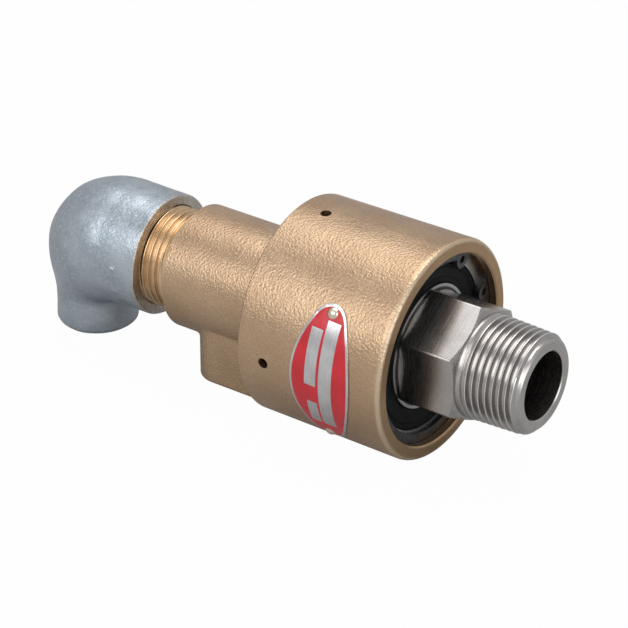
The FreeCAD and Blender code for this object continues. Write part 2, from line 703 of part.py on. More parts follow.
def make_elbow():
    """Reducing elbow: level inlet on the rotor's axis, outlet straight down."""
    body = new_body("elbow")
    outlet = new_sketch(body, "outlet_circle", "XY_Plane", base=("0", "0", "-elbow_drop"))
    draw_circle(outlet, "elbow_outlet_radius", "-elbow_axis")
    last = extrude(body, outlet, "outlet", "elbow_drop - crotch_drop")
    dress(body, last, "outlet_edge", edges_where(
        last, lambda edge: is_foot(edge, "-elbow_drop")), "outlet_edge_round")
    loft_bend(body, "bend", "0", "Additive")
    inlet = new_sketch(body, "inlet_circle", "YZ_Plane", base=("0", "0", "-crotch_depth"))
    draw_circle(inlet, "elbow_inlet_radius")
    last = extrude(body, inlet, "inlet", "crotch_depth - elbow_face")
    dress(body, last, "inlet_edge", edges_where(
        last, lambda edge: is_ring(edge, "-elbow_face", "elbow_inlet_radius")), "elbow_edge_round")
    loft_bend(body, "passage", "elbow_wall", "Subtractive")
    socket = "nipple_radius + nipple_clearance"
    turn(body, "inlet_thread",
         bar(f"-elbow_face + {OVERRUN}", "-nipple_back - socket_runout", socket, "0"), "Groove")
    thread = new_sketch(body, "outlet_thread_circle", "XY_Plane", base=("0", "0", "-elbow_drop"))
    draw_circle(thread, "outlet_thread_radius", "-elbow_axis")
    extrude(body, thread, "outlet_thread", "outlet_thread_depth", "Pocket", reverse=True)


def make_nameplate():
    """Thin plate bent round the barrel and cut to a pointed oval, with a hole at each tip."""
    skin = doc.addObject("PartDesign::Body", "nameplate_skin")
    slope = "barrel_draft / barrel_back"
    sketch = new_sketch(skin, "skin_outline", "XZ_Plane")
    across = ("-plate_depth + plate_half_height", "-plate_depth - plate_half_height")
    low = [(x_place, f"barrel_radius + {slope} * ({x_place})") for x_place in across]
    high = [(x_place, f"{radius} + plate_thickness") for x_place, radius in reversed(low)]
    draw_outline(sketch, low + high)
    turn_sketch(skin, sketch, "skin")
    oval = doc.addObject("PartDesign::Body", "nameplate_oval")
    sketch = new_sketch(oval, "oval_outline", "XZ_Plane", turn="plate_turn")
    draw_oval(sketch)
    outside = f"barrel_radius + plate_thickness + {OVERRUN}"
    prism = extrude(oval, sketch, "oval", outside)
    dress(oval, prism, "tips", edges_where(prism, is_plate_tip), "plate_tip_round")
    for name, x_place, angle in plate_pins():
        drill(oval, name + "_hole", "plate_pin_radius", x_place, angle, "0", outside)
    plate = doc.addObject("Part::Common", "nameplate")
    plate.Label = "nameplate"
    plate.Base = skin
    plate.Tool = oval
    parts.append(plate)


def is_plate_tip(edge):
    box = edge.BoundBox
    return box.XLength < CLOSE and box.YLength > value("plate_half_height") and len(edge.Vertexes) == 2


def draw_oval(sketch):
    """Two side arcs that meet in points above and below, leaning by the plate's tilt."""
    lean, rise = "plate_point_height * sin(plate_tilt)", "plate_point_height * cos(plate_tilt)"
    top, foot = (f"-plate_depth + {lean}", rise), (f"-plate_depth - {lean}", f"-{rise}")
    aside = "(plate_side_radius - plate_half_width)"
    left = (f"-plate_depth - {aside} * cos(plate_tilt)", f"{aside} * sin(plate_tilt)")
    right = (f"-plate_depth + {aside} * cos(plate_tilt)", f"-{aside} * sin(plate_tilt)")
    first = draw_arc(sketch, left, foot, top, "plate_side_radius")
    second = draw_arc(sketch, right, top, foot, "plate_side_radius")
    sketch.addConstraint(Sketcher.Constraint("Coincident", first, 2, second, 1))
    sketch.addConstraint(Sketcher.Constraint("Coincident", second, 2, first, 1))


def draw_arc(sketch, centre, start, end, radius):
    """Arc that runs anticlockwise from start to end; its start and radius are dimensions."""
    middle, first, last = (FreeCAD.Vector(value(across), value(up), 0)
                           for across, up in (centre, start, end))
    angles = [math.atan2(spot.y - middle.y, spot.x - middle.x) for spot in (first, last)]
    arc = Part.ArcOfCircle(Part.Circle(middle, Z_AXIS, value(radius)), *angles)
    index = sketch.addGeometry(arc, False)
    hold_point(sketch, index, 1, *start)
    hold(sketch, "Radius", radius, index)
    return index


def make_nameplate_pins():
    """Two drive pins: a shank in the barrel and a domed head on the plate."""
    body = new_body("nameplate_pins")
    body.AllowCompound = True
    seat = "(plate_radius + plate_thickness + plate_pin_gap)"
    dome = "(plate_pin_head_radius ^ 2 + plate_pin_head_height ^ 2) / (2 * plate_pin_head_height)"
    for name, x_place, angle in plate_pins():
        sketch = new_sketch(body, name + "_outline", "XY_Plane", turn=f"180 - ({angle})")
        bottom, crown = "plate_radius - plate_pin_length", f"{seat} + plate_pin_head_height"
        head = f"{x_place} + plate_pin_head_radius"
        shank = f"{x_place} + plate_pin_radius"
        draw_path(sketch, [(x_place, crown), (x_place, bottom), (shank, bottom), (shank, seat),
                           (head, seat)])
        arc = draw_arc(sketch, (x_place, f"{crown} - {dome}"), (head, seat), (x_place, crown), dome)
        sketch.addConstraint(Sketcher.Constraint("Coincident", arc, 2, 0, 1))
        pin = body.newObject("PartDesign::Revolution", name)
        pin.Profile = sketch
        pin.ReferenceAxis = (sketch, ["Edge1"])
        pin.Angle = 360
        doc.recompute()


def draw_path(sketch, corners):
    """Open run of straight edges through the corners."""
    spots = [FreeCAD.Vector(value(across), value(up), 0) for across, up in corners]
    for index, spot in enumerate(spots[:-1]):
        sketch.addGeometry(Part.LineSegment(spot, spots[index + 1]), False)
        hold_point(sketch, index, 1, *corners[index])
        if index:
            sketch.addConstraint(Sketcher.Constraint("Coincident", index - 1, 2, index, 1))
    hold_point(sketch, len(spots) - 2, 2, *corners[-1])


def make_everything():
    make_casing()
    make_rotor()
    make_bearing("front", "bearing_front")
    make_bearing("rear", "bearing_middle")
    make_retaining_ring("casing_retaining_ring", "-bore_groove_front - bore_ring_slack",
                        "bore_ring_thickness", "bore_groove_radius",
                        "bore_groove_radius - bore_ring_width",
                        "(bore_groove_radius - bore_ring_width + bore_eye_lift)")
    make_retaining_ring("shaft_retaining_ring", "-bearing_back", "shaft_ring_thickness",
                        "shaft_groove_radius + shaft_ring_width", "shaft_groove_radius",
                        "(shaft_groove_radius + shaft_ring_width)")
    make_mating_ring()
    make_seal_ring()
    make_seal_spring()
    make_anti_rotation_pins()
    make_rear_nipple()
    make_elbow()
    make_nameplate()
    make_nameplate_pins()


def check_document():
    """Stop on any feature that failed and on any piece without a sound solid."""
    doc.recompute()
    failed = [item.Name for item in doc.Objects if {"Invalid", "Error"} & set(item.State)]
    if failed:
        raise RuntimeError("features that failed: " + ", ".join(failed))
    for piece in parts:
        shape = piece.Shape
        if shape.isNull() or not shape.isValid() or not shape.Solids:
            raise RuntimeError("no sound solid in " + piece.Label)


def write_parts():
    os.makedirs("parts", exist_ok=True)
    for piece in parts:
        piece.Shape.exportStep(f"parts/{piece.Label}.step")
        print(f"{piece.Label:28} {len(piece.Shape.Solids):2} solids {piece.Shape.Volume:10.1f} mm3")


make_everything()
check_document()
write_parts()
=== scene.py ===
"""Hydraulic rotary union: bronze casing with a side port boss, a stainless threaded rotor
that turns in it, a bronze nipple and a galvanised elbow at the back.

Metres. The rotor turns about X, +X points out of its threaded end and the origin is where
that axis meets the front face of the casing.
"""
import json
import math

import bmesh
import bpy
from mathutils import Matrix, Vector, noise


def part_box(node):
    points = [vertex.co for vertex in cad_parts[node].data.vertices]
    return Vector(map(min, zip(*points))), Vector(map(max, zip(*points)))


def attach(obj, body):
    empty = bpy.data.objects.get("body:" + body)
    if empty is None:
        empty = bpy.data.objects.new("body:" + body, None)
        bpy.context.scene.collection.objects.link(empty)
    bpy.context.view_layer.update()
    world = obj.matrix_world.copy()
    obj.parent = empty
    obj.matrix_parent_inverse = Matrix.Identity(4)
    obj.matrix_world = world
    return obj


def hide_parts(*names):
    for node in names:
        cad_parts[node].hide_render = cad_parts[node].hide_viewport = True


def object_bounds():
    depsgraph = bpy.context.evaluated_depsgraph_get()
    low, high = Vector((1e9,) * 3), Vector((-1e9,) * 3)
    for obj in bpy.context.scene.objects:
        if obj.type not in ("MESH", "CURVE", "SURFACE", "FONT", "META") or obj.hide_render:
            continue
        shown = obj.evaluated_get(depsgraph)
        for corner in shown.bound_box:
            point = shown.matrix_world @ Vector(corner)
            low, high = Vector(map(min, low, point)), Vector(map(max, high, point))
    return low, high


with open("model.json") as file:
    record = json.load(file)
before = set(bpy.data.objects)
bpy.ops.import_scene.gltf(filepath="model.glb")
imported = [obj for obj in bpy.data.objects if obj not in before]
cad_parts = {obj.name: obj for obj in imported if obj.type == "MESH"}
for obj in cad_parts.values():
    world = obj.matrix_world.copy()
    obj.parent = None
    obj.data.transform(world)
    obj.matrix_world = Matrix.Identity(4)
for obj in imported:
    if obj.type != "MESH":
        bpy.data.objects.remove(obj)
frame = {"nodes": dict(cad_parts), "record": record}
cad_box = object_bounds()
nodes = frame["nodes"]
MM = 0.001
TURN = 2 * math.pi

# The fitted view of the photograph.
CAMERA_PLACE = (458.5 * MM, -720.5 * MM, 509.7 * MM)
CAMERA_AIM = (-48.5 * MM, 0, -3.2 * MM)
CAMERA_LENS = 185.84

# Sizes that the pieces below share with the solids.
THREAD_PITCH = 2.309 * MM
THREAD_TAPER = 0.03125
THREAD_ROWS = 12  # rows of the mesh in one pitch
ROTOR_BORE = 11.0 * MM
HEXAGON_HALF = 17.5 * MM
HEXAGON_CORNER = HEXAGON_HALF / math.cos(math.pi / 6)
HEXAGON_BACK = -4.4 * MM
HEXAGON_FRONT = 15.0 * MM
HEXAGON_CHAMFER = 1.7 * MM
HEXAGON_FIRST_CORNER = math.radians(31.5)
THREAD_END_RADIUS = 16.1 * MM
THREAD_END_CHAMFER = 1.9 * MM
ROTOR_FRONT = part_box("rotor")[1].x
ROTOR_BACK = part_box("rotor")[0].x
BEARING_FRONT = -5.0 * MM
BEARING_BACK = -37.0 * MM
JOURNAL = 15.0 * MM
SEAT_RADIUS = 13.4 * MM
SEAT_DEPTH = 4.5 * MM
NIPPLE_RADIUS = 16.6 * MM
NIPPLE_BORE = 9.5 * MM
NIPPLE_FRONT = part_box("rear_nipple")[1].x
NIPPLE_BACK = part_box("rear_nipple")[0].x
NECK_BACK = -93.0 * MM
ELBOW_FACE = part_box("elbow")[1].x
ELBOW_AXIS = -136.0 * MM
ELBOW_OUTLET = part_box("elbow")[0].z
PORT_DEPTH = -67.0 * MM
BOSS_FACE = -30.0 * MM
BARREL_RADIUS = 35.85 * MM
BARREL_SLOPE = 0.45 / 52.5


# Helpers for materials, and the materials.

class Shader:
    """A material's nodes, with short ways to add one and wire it up."""

    def __init__(self, name, colour, metallic, roughness):
        self.material = bpy.data.materials.new(name)
        self.material.use_nodes = True
        self.nodes = self.material.node_tree.nodes
        self.links = self.material.node_tree.links
        self.surface = self.nodes["Principled BSDF"]
        self.surface.inputs["Base Color"].default_value = (*colour, 1)
        self.surface.inputs["Metallic"].default_value = metallic
        self.surface.inputs["Roughness"].default_value = roughness
        self.place = self.add("ShaderNodeTexCoord").outputs["Object"]

    def add(self, kind, **settings):
        node = self.nodes.new(kind)
        for key, setting in settings.items():
            setattr(node, key, setting)
        return node

    def feed(self, socket, source):
        if isinstance(source, bpy.types.NodeSocket):
            self.links.new(source, socket)
        else:
            socket.default_value = source

    def maths(self, operation, first, second=0.0):
        node = self.add("ShaderNodeMath", operation=operation)
        self.feed(node.inputs[0], first)
        self.feed(node.inputs[1], second)
        return node.outputs[0]

    def stretched(self, scale):
        """Object coordinates times a scale along each axis."""
        node = self.add("ShaderNodeVectorMath", operation="MULTIPLY")
        self.feed(node.inputs[0], self.place)
        node.inputs[1].default_value = scale
        return node.outputs[0]

    def noise(self, scale, detail=3.0, stretch=None, rough=0.5):
        """Noise whose grain is about 1/scale metres across."""
        node = self.add("ShaderNodeTexNoise")
        self.feed(node.inputs["Vector"], self.stretched(stretch) if stretch else self.place)
        node.inputs["Scale"].default_value = scale
        node.inputs["Detail"].default_value = detail
        node.inputs["Roughness"].default_value = rough
        return node.outputs["Fac"]

    def pebbles(self, scale):
        """Rounded grains about 1/scale metres across: 0 between them and 1 at their tops."""
        node = self.add("ShaderNodeTexVoronoi", feature="SMOOTH_F1")
        self.feed(node.inputs["Vector"], self.place)
        node.inputs["Scale"].default_value = scale
        node.inputs["Smoothness"].default_value = 0.6
        return self.ramp(node.outputs["Distance"], 0.75, 0.1)

    def ramp(self, source, low, high, to_low=0.0, to_high=1.0):
        node = self.add("ShaderNodeMapRange", interpolation_type="SMOOTHSTEP")
        for key, entry in zip(("Value", "From Min", "From Max", "To Min", "To Max"),
                              (source, low, high, to_low, to_high)):
            self.feed(node.inputs[key], entry)
        return node.outputs["Result"]

    def mix(self, share, first, second):
        node = self.add("ShaderNodeMix", data_type="RGBA")
        self.feed(node.inputs["Factor"], share)
        for socket, source in ((node.inputs["A"], first), (node.inputs["B"], second)):
            if isinstance(source, tuple):
                source = (*source, 1)
            self.feed(socket, source)
        return node.outputs["Result"]

    def paint(self, source):
        self.feed(self.surface.inputs["Base Color"], source)

    def bump(self, source, depth, strength=1.0):
        """Stack another layer of relief, depth metres deep, on those before it."""
        node = self.add("ShaderNodeBump")
        node.inputs["Strength"].default_value = strength
        node.inputs["Distance"].default_value = depth
        self.feed(node.inputs["Height"], source)
        normal = self.surface.inputs["Normal"]
        if normal.is_linked:
            self.links.new(normal.links[0].from_socket, node.inputs["Normal"])
        self.links.new(node.outputs["Normal"], normal)

    def axes(self):
        split = self.add("ShaderNodeSeparateXYZ")
        self.feed(split.inputs[0], self.place)
        return split.outputs

    def from_axis(self):
        """Distance from the rotor's axis."""
        _, across, up = self.axes()
        return self.maths("SQRT", self.maths("ADD", self.maths("MULTIPLY", across, across),
                                             self.maths("MULTIPLY", up, up)))


def cast_bronze():
    """Grained casting skin; the front face and the bore are cut bare, and the rounded front rim
    carries a painted highlight.
    """
    shader = Shader("cast_bronze", (0.55, 0.37, 0.21), 1.0, 0.42)
    along = shader.axes()[0]
    radius = shader.from_axis()
    on_face = shader.ramp(along, -0.06 * MM, -0.02 * MM)
    inside = shader.maths("SUBTRACT", 1.0, shader.ramp(radius, 32.6 * MM, 32.9 * MM))
    in_bore = shader.maths("MULTIPLY", inside, shader.ramp(along, -47.6 * MM, -47.4 * MM))
    machined = shader.maths("MAXIMUM", on_face, in_bore)
    cast = shader.maths("SUBTRACT", 1.0, machined)
    cloud = shader.ramp(shader.noise(45, 4), 0.35, 0.65)
    pit = shader.noise(1500, 2)
    skin = shader.mix(cloud, (0.50, 0.345, 0.222), (0.57, 0.405, 0.265))
    dirty = shader.mix(0.25, skin, (0.30, 0.19, 0.10))
    skin = shader.mix(shader.ramp(pit, 0.35, 0.65), dirty, skin)
    cut = shader.mix(shader.noise(60, 3), (0.43, 0.275, 0.15), (0.51, 0.345, 0.195))
    # Painted highlight: a lighter colour all round the rounded outer edge of the front face.
    rim = shader.maths("MULTIPLY", shader.ramp(along, -1.5 * MM, -0.9 * MM),
                       shader.ramp(radius, 34.5 * MM, 34.9 * MM))
    shader.paint(shader.mix(rim, shader.mix(machined, skin, cut), (0.66, 0.51, 0.35)))
    shader.feed(shader.surface.inputs["Roughness"],
                shader.ramp(shader.noise(300, 3), 0.3, 0.7, 0.31, 0.41))
    shader.bump(shader.maths("MULTIPLY", shader.pebbles(1250), cast), 0.055 * MM, 0.9)
    shader.bump(shader.maths("MULTIPLY", pit, cast), 0.08 * MM, 0.8)
    return shader.material


def turned(name, dark, light, roughness, lines=9000.0, depth=0.004 * MM):
    """Metal cut on a lathe: fine lines round the axis and faint clouding."""
    shader = Shader(name, light, 1.0, roughness)
    streak = shader.noise(1.0, 4, stretch=(lines, 60, 60), rough=0.65)
    cloud = shader.noise(260, 3)
    shade = shader.maths("ADD", shader.maths("MULTIPLY", streak, 0.5),
                         shader.maths("MULTIPLY", cloud, 0.5))
    shader.paint(shader.mix(shader.ramp(shade, 0.3, 0.7), dark, light))
    shader.feed(shader.surface.inputs["Roughness"],
                shader.ramp(streak, 0.25, 0.75, roughness - 0.06, roughness + 0.06))
    shader.bump(streak, depth)
    return shader


def galvanised():
    """Clouded zinc skin on the elbow; its end face is rough bare iron."""
    shader = Shader("galvanised_iron", (0.46, 0.52, 0.57), 1.0, 0.38)
    along = shader.axes()[0]
    face = shader.ramp(along, ELBOW_FACE - 0.75 * MM, ELBOW_FACE - 0.35 * MM)
    cloud = shader.ramp(shader.noise(90, 4), 0.35, 0.68)
    skin = shader.mix(cloud, (0.38, 0.435, 0.48), (0.47, 0.525, 0.57))
    skin = shader.mix(shader.ramp(shader.noise(900, 2), 0.45, 0.7), skin, (0.50, 0.55, 0.59))
    bare = shader.mix(shader.noise(500, 4), (0.40, 0.36, 0.31), (0.74, 0.70, 0.64))
    shader.paint(shader.mix(face, skin, bare))
    shader.feed(shader.surface.inputs["Roughness"],
                shader.ramp(shader.noise(240, 3), 0.3, 0.7, 0.32, 0.44))
    shader.bump(shader.noise(520, 2), 0.15 * MM, 0.7)
    shader.bump(shader.pebbles(1400), 0.03 * MM, 0.9)
    shader.bump(shader.maths("MULTIPLY", shader.noise(700, 3), face), 0.30 * MM, 0.8)
    return shader.material


def plain_metal(name, dark, light, roughness, grain=400, depth=0.02 * MM, metallic=1.0):
    """Evenly finished surface, clouded between two colours; metallic 0 gives carbon and ceramic."""
    shader = Shader(name, light, metallic, roughness)
    cloud = shader.noise(grain, 3)
    shader.paint(shader.mix(shader.ramp(cloud, 0.35, 0.65), dark, light))
    shader.feed(shader.surface.inputs["Roughness"],
                shader.ramp(cloud, 0.3, 0.7, roughness - 0.05, roughness + 0.05))
    shader.bump(shader.noise(grain * 4, 2), depth, 0.5)
    return shader.material


def stainless():
    """Turned and brushed; the thread's crests carry a painted highlight and its valleys painted
    shade.
    """
    shader = turned("stainless", (0.42, 0.40, 0.385), (0.52, 0.50, 0.48), 0.25,
                    lines=5000.0, depth=0.0015 * MM)
    along = shader.axes()[0]
    from_end = shader.maths("SUBTRACT", ROTOR_FRONT, along)
    crest = shader.maths("ADD", shader.maths("MULTIPLY", from_end, THREAD_TAPER), THREAD_END_RADIUS)
    below = shader.maths("SUBTRACT", crest, shader.from_axis())
    on_thread = shader.maths(
        "MULTIPLY", shader.ramp(along, HEXAGON_FRONT + 1.0 * MM, HEXAGON_FRONT + 2.0 * MM),
        shader.ramp(along, ROTOR_FRONT - 2.0 * MM, ROTOR_FRONT - 2.6 * MM))
    # Painted shade: the thread's valleys are darkened.
    valley_shade = shader.maths("MULTIPLY", shader.ramp(below, 0.10 * MM, 0.45 * MM), on_thread)
    # Painted highlight: the thread's crests are lightened nearly to white.
    outside = shader.ramp(shader.from_axis(), 13.0 * MM, 13.5 * MM)
    at_top = shader.maths(
        "MULTIPLY", shader.ramp(along, HEXAGON_FRONT + 1.5 * MM, HEXAGON_FRONT + 2.5 * MM),
        shader.ramp(below, 0.22 * MM, 0.06 * MM))
    crest_highlight = shader.maths("MULTIPLY", outside, at_top)
    ground = shader.surface.inputs["Base Color"].links[0].from_socket
    # Painted shade in the valleys, then the painted highlight on the crests.
    ground = shader.mix(shader.maths("MULTIPLY", valley_shade, 0.5), ground, (0.36, 0.335, 0.315))
    shader.paint(shader.mix(shader.maths("MULTIPLY", crest_highlight, 0.8), ground, (0.86, 0.85, 0.84)))
    return shader.material


def bearing_steel():
    """Ground steel; the inner ring's face is painted near-black near the shaft, as shade in the gap
    by the hexagon.
    """
    shader = Shader("bearing_steel", (0.44, 0.44, 0.44), 1.0, 0.30)
    streak = shader.noise(1.0, 4, stretch=(9000, 60, 60))
    ground = shader.mix(shader.ramp(streak, 0.3, 0.7), (0.40, 0.40, 0.40), (0.54, 0.54, 0.54))
    # Painted shade: near-black within about 19 mm of the axis, for the shaded gap between the ring
    # and the hexagon.
    gap_shade = shader.ramp(shader.from_axis(), 19.0 * MM, 19.4 * MM)
    shader.paint(shader.mix(gap_shade, (0.05, 0.048, 0.045), ground))
    shader.bump(streak, 0.003 * MM)
    return shader.material


def rubber(name):
    """Moulded nitrile rubber, matt black."""
    shader = Shader(name, (0.012, 0.013, 0.013), 0.0, 0.45)
    shader.surface.inputs["Specular IOR Level"].default_value = 0.09
    cloud = shader.noise(220, 4)
    shader.paint(shader.mix(shader.ramp(cloud, 0.35, 0.65),
                            (0.005, 0.006, 0.006), (0.012, 0.013, 0.013)))
    shader.feed(shader.surface.inputs["Roughness"], shader.ramp(cloud, 0.3, 0.7, 0.45, 0.60))
    shader.bump(shader.noise(2200, 2), 0.02 * MM, 0.4)
    return shader.material


def enamel():
    """Red enamel of the nameplate, under a thin clear coat."""
    shader = Shader("nameplate_enamel", (0.66, 0.012, 0.02), 0.0, 0.32)
    cloud = shader.noise(160, 3)
    shader.paint(shader.mix(shader.ramp(cloud, 0.3, 0.7),
                            (0.46, 0.006, 0.014), (0.54, 0.010, 0.020)))
    shader.surface.inputs["Coat Weight"].default_value = 0.15
    shader.surface.inputs["Coat Roughness"].default_value = 0.25
    shader.bump(shader.noise(900, 2), 0.01 * MM, 0.4)
    return shader.material


MATERIALS = {
    "cast_bronze": cast_bronze(),
    "machined_bronze": turned("machined_bronze", (0.62, 0.43, 0.26), (0.78, 0.59, 0.39),
                              0.28).material,
    "galvanised_iron": galvanised(),
    "stainless": stainless(),
    "bearing_steel": bearing_steel(),
    "cage_brass": plain_metal("cage_brass", (0.58, 0.42, 0.18), (0.68, 0.50, 0.24), 0.3),
    "seal_rubber": rubber("seal_rubber"),
    "o_ring_rubber": rubber("o_ring_rubber"),
    "spring_steel": plain_metal("spring_steel", (0.075, 0.077, 0.082), (0.13, 0.13, 0.14), 0.42,
                                grain=600),
    "pin_steel": plain_metal("pin_steel", (0.60, 0.55, 0.42), (0.74, 0.69, 0.55), 0.24,
                             grain=900, depth=0.01 * MM),
    "hard_face": plain_metal("hard_face", (0.05, 0.05, 0.055), (0.08, 0.08, 0.085), 0.3,
                             grain=500, metallic=0.0),
    "carbon": plain_metal("carbon", (0.015, 0.015, 0.017), (0.03, 0.03, 0.033), 0.4,
                          grain=500, metallic=0.0),
    "nameplate_enamel": enamel(),
    "plate_aluminium": turned("plate_aluminium", (0.52, 0.52, 0.52), (0.68, 0.68, 0.69), 0.24,
                              lines=5000.0, depth=0.003 * MM).material,
}


# Helpers for meshes.

def new_piece(name, mesh, slot, body, *replaced):
    """A mesh object with its material that rides on a body and stands for the CAD nodes named."""
    piece = bpy.data.objects.new(name, mesh)
    bpy.context.scene.collection.objects.link(piece)
    mesh.materials.append(MATERIALS[slot])
    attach(piece, body)
    if replaced:
        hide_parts(*replaced)
    return piece


def smooth(mesh, angle=32):
    mesh.polygons.foreach_set("use_smooth", [True] * len(mesh.polygons))
    mesh.set_sharp_from_angle(angle=math.radians(angle))


def column_angles(count, corners=(), bevel=0.0):
    """Even angles round the axis, with a close pair in place of the one at each corner."""
    angles = []
    for step in range(count):
        angle = corners[0] + TURN * step / count if corners else TURN * step / count
        if corners and any(abs(math.remainder(angle - corner, TURN)) < 1e-6 for corner in corners):
            angles += [angle - bevel, angle + bevel]
        else:
            angles.append(angle)
    return sorted(angles)


def spun_mesh(name, angles, stations):
    """Closed surface round X.

    A station is (x, radius), each a number or a function of the angle, or a Thread. The last
    station joins the first.
    """
    builder = bmesh.new()
    rings = []
    for station in stations:
        if isinstance(station, Thread):
            rings.append(station.columns(builder, angles))
            continue
        ring = []
        for angle in angles:
            along, radius = (entry(angle) if callable(entry) else entry for entry in station)
            ring.append([builder.verts.new(spot(along, radius, angle))])
        rings.append(ring)
    count = len(angles)
    for index, ring in enumerate(rings):
        following = rings[(index + 1) % len(rings)]
        for column in range(count):
            after = (column + 1) % count
            add_face(builder, (ring[column][-1], ring[after][-1],
                               following[after][0], following[column][0]))
        for column in range(count):
            after = (column + 1) % count
            shift = THREAD_ROWS if after == 0 else 0
            last = len(ring[column]) - 1
            for row in range(last):
                add_face(builder, (ring[column][row], ring[after][min(row + shift, last)],
                                   ring[after][min(row + 1 + shift, last)], ring[column][row + 1]))
    bmesh.ops.remove_doubles(builder, verts=builder.verts, dist=1e-6)
    bmesh.ops.dissolve_degenerate(builder, edges=builder.edges, dist=1e-7)
    bmesh.ops.recalc_face_normals(builder, faces=builder.faces)
    mesh = bpy.data.meshes.new(name)
    builder.to_mesh(mesh)
    builder.free()
    smooth(mesh)
    return mesh


def add_face(builder, corners):
    """Adds a face, unless two of its corners are one vertex, as at the ends of a thread."""
    try:
        builder.faces.new(corners)
    except ValueError:
        pass


def spot(along, radius, angle):
    """The point at that angle round X; 0 points along Y."""
    return (along, radius * math.cos(angle), radius * math.sin(angle))


class Thread:
    """A helical stretch of a spun surface between low and high on X.

    The crest's radius, the depth of the groove and the radius that clips both are functions of X.
    """

    def __init__(self, low, high, crest, depth, clip=None):
        self.low, self.high = low, high
        self.crest, self.depth, self.clip = crest, depth, clip

    def columns(self, builder, angles):
        rows = math.ceil(THREAD_ROWS * ((self.high - self.low) / THREAD_PITCH + 1)) + 1
        columns = []
        for angle in angles:
            share = (angle - angles[0]) / TURN
            column = []
            for row in range(rows + 1):
                along = self.low - THREAD_PITCH + (row / THREAD_ROWS + share) * THREAD_PITCH
                along = min(max(along, self.low), self.high)
                radius = self.radius(along, angle - angles[0])
                column.append(builder.verts.new(spot(along, radius, angle)))
            columns.append(column)
        return columns

    def radius(self, along, angle):
        turns = along / THREAD_PITCH - angle / TURN - self.phase()
        groove = self.depth(along) * thread_form(turns - math.floor(turns))
        radius = self.crest(along) - groove
        return min(radius, self.clip(along)) if self.clip else radius

    def phase(self):
        """Puts a row of the mesh on every crest."""
        return (self.low / THREAD_PITCH) % 1


def thread_form(share):
    """Depth of the groove, 0 at the crest and 1 at the root, over one pitch."""
    crest_share, root_share, rounding = 0.10, 0.36, 0.06
    rise = (1 - abs(2 * share - 1) - crest_share) / (1 - crest_share - root_share)
    rise = min(max(rise, 0.0), 1.0)
    return rise - rounding * math.sin(TURN * rise)


def ease(value, low, high):
    """0 up to low and 1 from high on, with a smooth step between."""
    share = min(max((value - low) / (high - low), 0.0), 1.0)
    return share * share * (3 - 2 * share)


# Rotor.

def hexagon_radius(angle):
    """Distance from the axis to the flat at that angle."""
    sector = math.radians(60)
    aside = (angle - HEXAGON_FIRST_CORNER) % sector - sector / 2
    return HEXAGON_HALF / math.cos(aside)


def make_rotor():
    """Bored shaft with a hexagon, a taper thread and the bearing journal, as one turned piece."""
    corners = [HEXAGON_FIRST_CORNER + math.radians(60 * step) for step in range(6)]
    angles = column_angles(240, corners, bevel=math.radians(0.7))
    root_radius = THREAD_END_RADIUS + THREAD_TAPER * (ROTOR_FRONT - HEXAGON_FRONT)
    cone_foot = HEXAGON_CORNER - HEXAGON_CHAMFER / math.tan(math.radians(30))
    slope = math.tan(math.radians(60))
    thread_depth = 1.25 * MM
    end_radius, end_slope = THREAD_END_RADIUS - THREAD_END_CHAMFER, 1.03
    edge, step_gap = 0.35 * MM, 0.02 * MM
    ring_width, ring_groove = 1.6 * MM, JOURNAL - 0.7 * MM
    collar = 18.3 * MM

    def chamfer_place(angle):
        return HEXAGON_FRONT - (hexagon_radius(angle) - cone_foot) / slope

    def crest(along):
        return THREAD_END_RADIUS + THREAD_TAPER * (ROTOR_FRONT - along)

    def depth(along):
        return thread_depth * ease(along, HEXAGON_FRONT + 0.2 * MM, HEXAGON_FRONT + 2.6 * MM)

    def end_cone(along):
        return end_radius + (ROTOR_FRONT - along) * end_slope

    thread = Thread(HEXAGON_FRONT, ROTOR_FRONT, crest, depth, clip=end_cone)
    stations = [
        (ROTOR_FRONT - edge, ROTOR_BORE),
        (ROTOR_BACK + SEAT_DEPTH, ROTOR_BORE),
        (ROTOR_BACK + SEAT_DEPTH, SEAT_RADIUS), (ROTOR_BACK, SEAT_RADIUS),
        (ROTOR_BACK, JOURNAL), (BEARING_BACK - ring_width, JOURNAL),
        (BEARING_BACK - ring_width, ring_groove), (BEARING_BACK, ring_groove),
        (BEARING_BACK, JOURNAL), (BEARING_FRONT, JOURNAL),
        (BEARING_FRONT, collar), (HEXAGON_BACK, collar),
        (HEXAGON_BACK, hexagon_radius),
        (chamfer_place, hexagon_radius),
        (HEXAGON_FRONT, cone_foot),
        (HEXAGON_FRONT, root_radius + step_gap),
        thread,
        (ROTOR_FRONT, end_radius - step_gap),
        (ROTOR_FRONT, ROTOR_BORE + edge),
    ]
    mesh = spun_mesh("rotor_body", angles, stations)
    piece = new_piece("rotor_body", mesh, "stainless", "rotor", "rotor")


# Rear nipple.

def make_nipple():
    """Threaded pipe nipple: one end in the neck, the other in the elbow."""
    thread_end = NECK_BACK - 3.0 * MM
    thread_depth, fade = 1.1 * MM, 1.2 * MM
    edge = 1.0 * MM
    socket, socket_depth = 7.5 * MM, 15.0 * MM

    def crest(along):
        return NIPPLE_RADIUS

    def depth(along):
        return thread_depth * (1 - ease(along, thread_end - fade, thread_end))

    stations = [
        (NIPPLE_BACK, NIPPLE_BORE), (NIPPLE_BACK, NIPPLE_RADIUS - edge),
        Thread(NIPPLE_BACK + edge, thread_end, crest, depth),
        (NECK_BACK, NIPPLE_RADIUS),
        (NIPPLE_FRONT - edge, NIPPLE_RADIUS - 0.2 * MM), (NIPPLE_FRONT, NIPPLE_RADIUS - edge),
        (NIPPLE_FRONT, socket), (NIPPLE_FRONT - socket_depth, socket),
        (NIPPLE_FRONT - socket_depth, NIPPLE_BORE),
    ]
    mesh = spun_mesh("nipple_body", column_angles(192), stations)
    piece = new_piece("nipple_body", mesh, "machined_bronze", "casing", "rear_nipple")


# Elbow.

